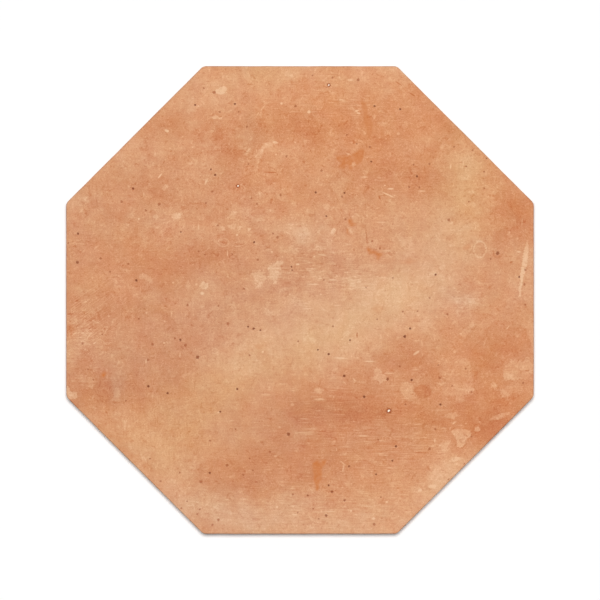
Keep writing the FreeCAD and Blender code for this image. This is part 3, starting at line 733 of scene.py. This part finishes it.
def terracotta():
    """Fired clay. Its tone is the sum of fired zones, mottling, grain, drag lines, patches and marks, and
    voids painted darker as shade. A ramp turns it into colour, and warmth, rust, pits darkened with painted
    shade and lime go over that. Relief follows the same fields."""
    CLAY = np.array([213.4, 151.3, 110.4])  # at a middle firing
    PALER = np.array([0.42, 0.76, 0.80])  # what one step of tone adds to it
    WARMER = (0.0059, 0.0005, -0.0017)  # what one step of warmth adds to the linear colour
    MORE_OCHRE = (-0.0030, 0.0035, -0.0016)  # and what one step of ochre adds
    RUST = (204, 120, 62)
    # The pits' colours hold painted shade in the hollow as well as the grit's own darker colour.
    PIT_AND_SHADE = (122, 57, 32)
    RED_PIT_AND_SHADE = (160, 76, 36)
    LIME_WHITE = (253, 240, 220)
    LIME_LIMIT = 0.55  # a pit's strength below which it holds lime
    LIME_DEEPER = 0.4  # what its hollow's strength then gains: a darker ring, partly painted shade
    material = bpy.data.materials.new("terracotta")
    material.use_nodes = True
    tree = material.node_tree
    tree.nodes.clear()
    place = add_node(tree, "ShaderNodeTexCoord").outputs["Object"]
    run = add_node(tree, "ShaderNodeUVMap", uv_map="run").outputs["UV"]

    def maths(operation, first, second=0.0):
        """This operation on one or two values."""
        return add_node(tree, "ShaderNodeMath", {0: first, 1: second}, operation=operation).outputs[0]

    def total(*values):
        """The values added up."""
        result = values[0]
        for value in values[1:]:
            result = maths("ADD", result, value)
        return result

    def times(first, second):
        """The two values multiplied."""
        return maths("MULTIPLY", first, second)

    def weighed(*pairs):
        """The sum of fields, each times its weight."""
        return total(*(times(field, weight) for field, weight in pairs))

    def fade(value, start, end):
        """0 before start, 1 past end, and a smooth step between them."""
        inputs = {"Value": value, "From Min": start, "From Max": end}
        return add_node(tree, "ShaderNodeMapRange", inputs, interpolation_type="SMOOTHSTEP").outputs[0]

    def noise(where, size, detail=0, roughness=0.5, curl=0.0):
        """Random hills about this many metres across, from about -0.5 to 0.5, with curled shapes."""
        inputs = {"Vector": where, "Scale": 1 / size, "Detail": detail, "Roughness": roughness}
        hills = add_node(tree, "ShaderNodeTexNoise", {**inputs, "Distortion": curl}).outputs["Fac"]
        return maths("SUBTRACT", hills, 0.5)

    def fields(name):
        """The three values that the mesh stores under this name."""
        vector = add_node(tree, "ShaderNodeAttribute", attribute_name=name).outputs["Vector"]
        return add_node(tree, "ShaderNodeSeparateXYZ", {"Vector": vector}).outputs

    def dragged(along, across, detail=0, roughness=0.5, lean=0):
        """Noise on the run map, with hills this many millimetres along and across a drag that leans so."""
        turn, scale = (0, 0, -np.radians(lean)), (1 / along, 1 / across, 1)
        turned = add_node(tree, "ShaderNodeMapping", {"Vector": run, "Rotation": turn}).outputs[0]
        cells = add_node(tree, "ShaderNodeMapping", {"Vector": turned, "Scale": scale}).outputs[0]
        return noise(cells, 1.0, detail, roughness)

    def mixed(share, under, over):
        """One colour laid over another by this share, on the colour sockets of a Mix node."""
        return add_node(tree, "ShaderNodeMix", {0: share, 6: under, 7: over}, data_type="RGBA").outputs[2]

    def distance(mark, ragged):
        """How far a place lies from a mark's middle, in its half axes, made ragged by a field."""
        return total(maths("SQRT", total(times(mark[0], mark[0]), times(mark[1], mark[1]))), ragged)

    fired, skin, film, swept = (fields(name) for name in ("fired", "skin", "film", "swept"))
    pit, drag_mark, blister = (fields(name) for name in ("pit", "drag_mark", "blister"))

    # The clay's own texture
    mottle = noise(place, 13 * MM, 3, 0.6, 0.5)
    ragged = noise(place, 3 * MM, 2, 0.65, 0.8)
    torn = noise(place, 1.9 * MM, 2, 0.6, 1.0)
    grain = noise(place, 0.5 * MM)
    skinned = noise(place, 9 * MM, 4, 0.6, 1.0)
    plates = maths("SUBTRACT", fade(skinned, -0.03, 0.03), 0.5)
    torn_edge = fade(maths("ABSOLUTE", skinned), 0.028, 0.006)
    torn_edge = times(torn_edge, fade(noise(place, 5 * MM, 1), 0.0, 0.12))
    fleck = fade(noise(place, 1.3 * MM), 0.2, 0.27)
    speck = fade(noise(place, 1.6 * MM), -0.2, -0.27)
    crowd = fade(noise(place, 30 * MM, 1), -0.15, 0.12)
    flake = times(fade(noise(place, 4 * MM, 3, 0.6, 1.0), 0.1, 0.17), crowd)
    scar = fade(noise(place, 5.3 * MM, 3, 0.6, 1.0), -0.1, -0.18)

    # Lines that the scraper, a hand and a brush dragged
    streak = dragged(16, 1.1, 2, 0.7)
    smear = dragged(1.6, 16, 2, 0.6)
    brushing = dragged(12, 1.0, 2, 0.7, BRUSH_LEAN)
    scratch = fade(dragged(8, 0.55), 0.17, 0.26)
    upright_scratch = fade(dragged(0.6, 6), 0.17, 0.26)
    brush_line = fade(dragged(9, 0.6, lean=BRUSH_LEAN), 0.1, 0.2)

    # Flakes and scum, drag marks, the rims of bubbles, and the sand and voids of the sides and the back, the
    # voids painted darker as shade
    chipped = total(maths("MINIMUM", skin[0], 3.0), weighed((grain, 1.2), (ragged, 2.4), (torn, 2.0)))
    flaked = times(fade(chipped, -0.5, 0.5), total(1.0, torn))
    broken = total(maths("MINIMUM", film[0], 3.0), weighed((ragged, 11.0), (torn, 9.0), (streak, 3.0)))
    scummed = times(fade(broken, -1.3, 1.3), total(1.0, times(torn, 1.5), streak))
    patch = weighed((flaked, skin[1]), (scummed, film[1]))
    mark = times(fade(distance(drag_mark, times(grain, 0.6)), 1.2, 0.5), drag_mark[2])
    bubble_reach = distance(blister, weighed((grain, 0.2), (ragged, 0.35)))
    off_rim = maths("ABSOLUTE", maths("SUBTRACT", bubble_reach, 1.0))
    rim_line = times(fade(off_rim, 0.17, 0.03), blister[2])
    up = add_node(tree, "ShaderNodeSeparateXYZ", {"Vector": place}).outputs["Z"]
    off_face = fade(up, THICKNESS * MM, 0.8 * THICKNESS * MM)
    sand = times(noise(place, 1.1 * MM, 2, 0.6), off_face)
    # The voids of the sides and the back are sunk and also painted darker, as painted shade.
    void_with_shade = times(fade(noise(place, 4.5 * MM, 1, 0.6), 0.14, 0.21), off_face)

    # Tone and colour
    texture = weighed(
        (mottle, 0.52),
        (plates, 0.05),
        (torn_edge, 0.16),
        (ragged, 0.07),
        (torn, 0.08),
        (grain, 0.45),
        (fleck, 0.16),
        (speck, -0.16),
        (flake, 0.19),
        (scar, -0.18),
        (streak, total(0.15, times(swept[0], 0.4))),
        (smear, total(0.05, times(swept[1], 0.28))),
        (brushing, times(swept[2], 0.45)),
        (scratch, total(0.07, times(swept[0], 0.18))),
        (upright_scratch, total(0.05, times(swept[1], 0.14))),
        (brush_line, times(swept[2], 0.22)),
    )
    marking = weighed((patch, 0.34), (mark, 0.46), (rim_line, 0.28), (sand, 0.4), (void_with_shade, -0.4))
    tone = total(0.5, fired[0], times(texture, film[2]), marking)
    ramp = add_node(tree, "ShaderNodeValToRGB", {"Fac": tone})
    for position in (0.25, 0.5, 0.75):
        ramp.color_ramp.elements.new(position)
    for element in ramp.color_ramp.elements:
        element.color = linear(CLAY + PALER * 100 * (element.position - 0.5))
    colour = ramp.outputs["Color"]
    blush = noise(place, 15 * MM, 3, 0.5, 0.5)
    yellowing = noise(place, 18 * MM, 3, 0.5, 0.5)
    warmth = total(fired[1], times(blush, 9.0), times(torn, 3.0))
    ochre = total(fired[2], times(yellowing, 5.0))
    for shift, steps in ((WARMER, warmth), (MORE_OCHRE, ochre)):
        scaled = add_node(tree, "ShaderNodeVectorMath", {0: shift, "Scale": steps}, operation="SCALE")
        colour = add_node(tree, "ShaderNodeVectorMath", {0: colour, 1: scaled.outputs[0]}).outputs[0]
    bled = times(skin[2], total(0.8, times(ragged, 1.6), grain))
    colour = mixed(maths("MAXIMUM", bled, 0.0), colour, linear(RUST))
    # Pits are painted darker: partly the grit's colour, partly painted shade in the hollow.
    pit_reach = distance(pit, times(grain, 0.7))
    limed = maths("LESS_THAN", pit[2], LIME_LIMIT)
    hole_and_shade = times(fade(pit_reach, 1.15, 0.65), total(pit[2], times(limed, LIME_DEEPER)))
    colour = mixed(hole_and_shade, colour, mixed(fade(pit[2], 0.6, 0.85), linear(RED_PIT_AND_SHADE), linear(PIT_AND_SHADE)))
    lime = times(fade(pit_reach, 0.4, 0.3), limed)
    colour = mixed(lime, colour, linear(LIME_WHITE))

    # Relief in millimetres, and gloss
    height = weighed(
        (mottle, 0.2),
        (grain, 0.05),
        (streak, total(0.03, times(swept[0], 0.08))),
        (brushing, times(swept[2], 0.08)),
        (mark, -0.04),
        (hole_and_shade, -0.08),
        (rim_line, 0.06),
        (patch, 0.03),
        (sand, 0.5),
        (void_with_shade, -0.4),
    )
    bump = add_node(tree, "ShaderNodeBump", {"Height": height, "Distance": MM, "Strength": 0.7})
    shader = add_node(tree, "ShaderNodeBsdfPrincipled", {
        "Base Color": colour,
        "Roughness": total(0.84, weighed((mottle, 0.2), (patch, -0.05), (hole_and_shade, 0.1))),
        "Specular IOR Level": 0.25,
        "Normal": bump.outputs["Normal"],
    })
    add_node(tree, "ShaderNodeOutputMaterial", {"Surface": shader.outputs["BSDF"]})
    return material


mesh.materials.append(terracotta())
tile = bpy.data.objects.new("fired_tile", mesh)
bpy.context.scene.collection.objects.link(tile)
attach(tile, "root")
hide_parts("octagonal_tile")


# The floor: a plain matt white sheet under the tile. What the camera sees of it is lifted to white, so that
# only the narrow dark shadow beside the tile stays grey.

FLOOR_SIZE = 4.0
FLOOR_COLOUR = 0.98
FLOOR_RETURN = 0.45  # its colour for the light that it throws back on the tile's sides
FLOOR_LIFT = 0.03


def by_sight(tree, seen, unseen):
    """The first value for a ray from the camera, a mirror or clear glass, which is the largest of those three
    flags, and the second for the light that falls on things."""
    rays = add_node(tree, "ShaderNodeLightPath").outputs
    direct = rays["Is Camera Ray"]
    for kind in ("Is Glossy Ray", "Is Transmission Ray"):
        either = add_node(tree, "ShaderNodeMath", {0: direct, 1: rays[kind]}, operation="MAXIMUM")
        direct = either.outputs[0]
    inputs = {"Value": direct, "To Min": unseen, "To Max": seen}
    return add_node(tree, "ShaderNodeMapRange", inputs).outputs["Result"]


def floor_paper():
    """Matt white, with a glow that only direct sight of it picks up."""
    material = bpy.data.materials.new("floor_paper")
    material.use_nodes = True
    tree = material.node_tree
    shader = tree.nodes["Principled BSDF"]
    tree.links.new(by_sight(tree, FLOOR_COLOUR, FLOOR_RETURN), shader.inputs["Base Color"])
    tree.links.new(by_sight(tree, FLOOR_LIFT, 0.0), shader.inputs["Emission Strength"])
    shader.inputs["Emission Color"].default_value = (1, 1, 1, 1)
    shader.inputs["Roughness"].default_value = 1.0
    shader.inputs["Specular IOR Level"].default_value = 0.0
    return material


edge = FLOOR_SIZE / 2
floor_corners = [(-edge, -edge, 0), (edge, -edge, 0), (edge, edge, 0), (-edge, edge, 0)]
floor_mesh = bpy.data.meshes.new("floor")
floor_mesh.from_pydata(floor_corners, [], [(0, 1, 2, 3)])
floor_mesh.materials.append(floor_paper())
floor = bpy.data.objects.new("floor", floor_mesh)
bpy.context.scene.collection.objects.link(floor)


# The light: an even white sky and one large soft lamp almost overhead, a little towards the top of the
# picture. Together they light a level surface so that its colour renders as it is written.

SKY_LIGHT = 0.07
SKY_SEEN = 1.0
SUN_DIRECTION = Vector((0.0, -0.07, -1.0))
SUN_WIDTH = np.radians(10.5)

world = bpy.data.worlds.new("studio")
world.use_nodes = True
bpy.context.scene.world = world
background = world.node_tree.nodes["Background"]
background.inputs["Color"].default_value = (1, 1, 1, 1)
world.node_tree.links.new(by_sight(world.node_tree, SKY_SEEN, SKY_LIGHT), background.inputs["Strength"])

sun_light = bpy.data.lights.new("overhead", "SUN")
sun_light.energy = (1 - SKY_LIGHT) * np.pi / -SUN_DIRECTION.normalized().z
sun_light.angle = SUN_WIDTH
sun = bpy.data.objects.new("overhead", sun_light)
sun.rotation_euler = SUN_DIRECTION.to_track_quat("-Z", "Y").to_euler()
bpy.context.scene.collection.objects.link(sun)


# The camera: straight above the tile with a long lens, so that the sides stay hidden and the outline fills
# the frame as in the photograph.

LENS = 1600.0
PHOTO_SIZE = 600

camera_data = bpy.data.cameras.new("above")
camera_data.lens = LENS
frame_width = PHOTO_SIZE * PIXEL * MM
camera = bpy.data.objects.new("above", camera_data)
camera.location = (0, 0, high.z + frame_width * LENS / camera_data.sensor_width)
camera_data.clip_end = 2 * camera.location.z
bpy.context.scene.collection.objects.link(camera)
bpy.context.scene.camera = camera
bpy.context.scene.view_settings.view_transform = "Standard"
